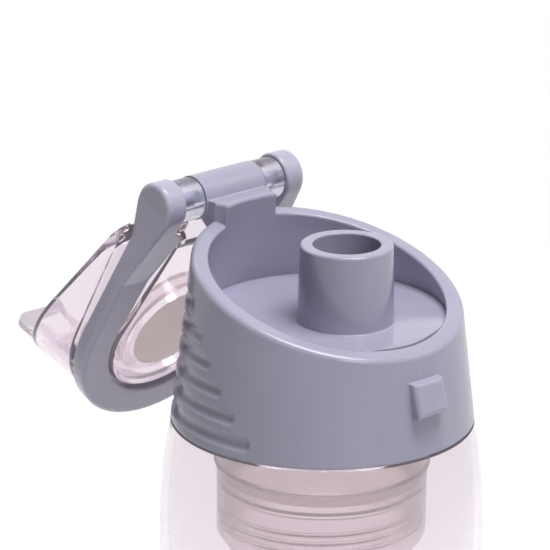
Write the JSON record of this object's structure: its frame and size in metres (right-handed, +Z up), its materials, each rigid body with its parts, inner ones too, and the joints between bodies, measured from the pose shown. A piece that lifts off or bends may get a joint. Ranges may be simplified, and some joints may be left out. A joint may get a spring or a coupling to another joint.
{
  "type": "fruit infuser water bottle",
  "caption": "Clear water bottle with a grey screw cap, open drinking spout, clear flip lid behind a grey carry loop, and an infuser basket inside.",
  "frame": {"origin": "centre of the bottle's flat foot", "axes": "+Z up along the bottle, -Y to the front where the lid's catch is, +X along the lid's hinge"},
  "size_m": [0.075, 0.1421, 0.2516],
  "materials": {
    "clear": "gloss",
    "grey": "satin",
    "clear_lid": "gloss",
    "silicone": "matte",
    "steel": "brushed"
  },
  "bodies": {
    "bottle": {"bottle_body": "clear"},
    "neck_seal": {"neck_gasket": "silicone"},
    "cap": {"cap_collar": "grey", "cap_core": "grey", "hinge_pin": "steel", "infuser_collar": "clear", "infuser_rim_gasket": "silicone"},
    "loop": {"carry_loop": "grey"},
    "lid": {"flip_lid": "clear_lid", "spout_seal": "silicone"},
    "basket_seal": {"infuser_gasket": "silicone"},
    "basket": {"infuser_basket": "clear"}
  },
  "joints": [
    {"name": "cap_lift", "type": "slide", "parent": "bottle", "child": "neck_seal", "axis": [0, 0, 1], "range_m": [0, 0.0064]},
    {"name": "cap_turn", "type": "hinge", "parent": "neck_seal", "child": "cap", "pos_m": [0, 0, 0.2], "axis": [0, 0, 1], "range_deg": [0, 450]},
    {"name": "loop_swing", "type": "hinge", "parent": "cap", "child": "loop", "pos_m": [0, 0.035, 0.2459], "axis": [1, 0, 0], "range_deg": [0, 157.5]},
    {"name": "lid_swing", "type": "hinge", "parent": "loop", "child": "lid", "pos_m": [0, 0.035, 0.2459], "axis": [1, 0, 0], "range_deg": [0, 87.5]},
    {"name": "basket_drop", "type": "slide", "parent": "cap", "child": "basket_seal", "axis": [0, 0, -1], "range_m": [0, 0.0064]},
    {"name": "basket_turn", "type": "hinge", "parent": "basket_seal", "child": "basket", "pos_m": [0, 0, 0.17], "axis": [0, 0, -1], "range_deg": [0, 1080]}
  ],
  "couplings": [
    {"joint": "cap_lift", "follows": "cap_turn", "m_per_rad": 0.00079577},
    {"joint": "basket_drop", "follows": "basket_turn", "m_per_rad": 0.00033423}
  ]
}
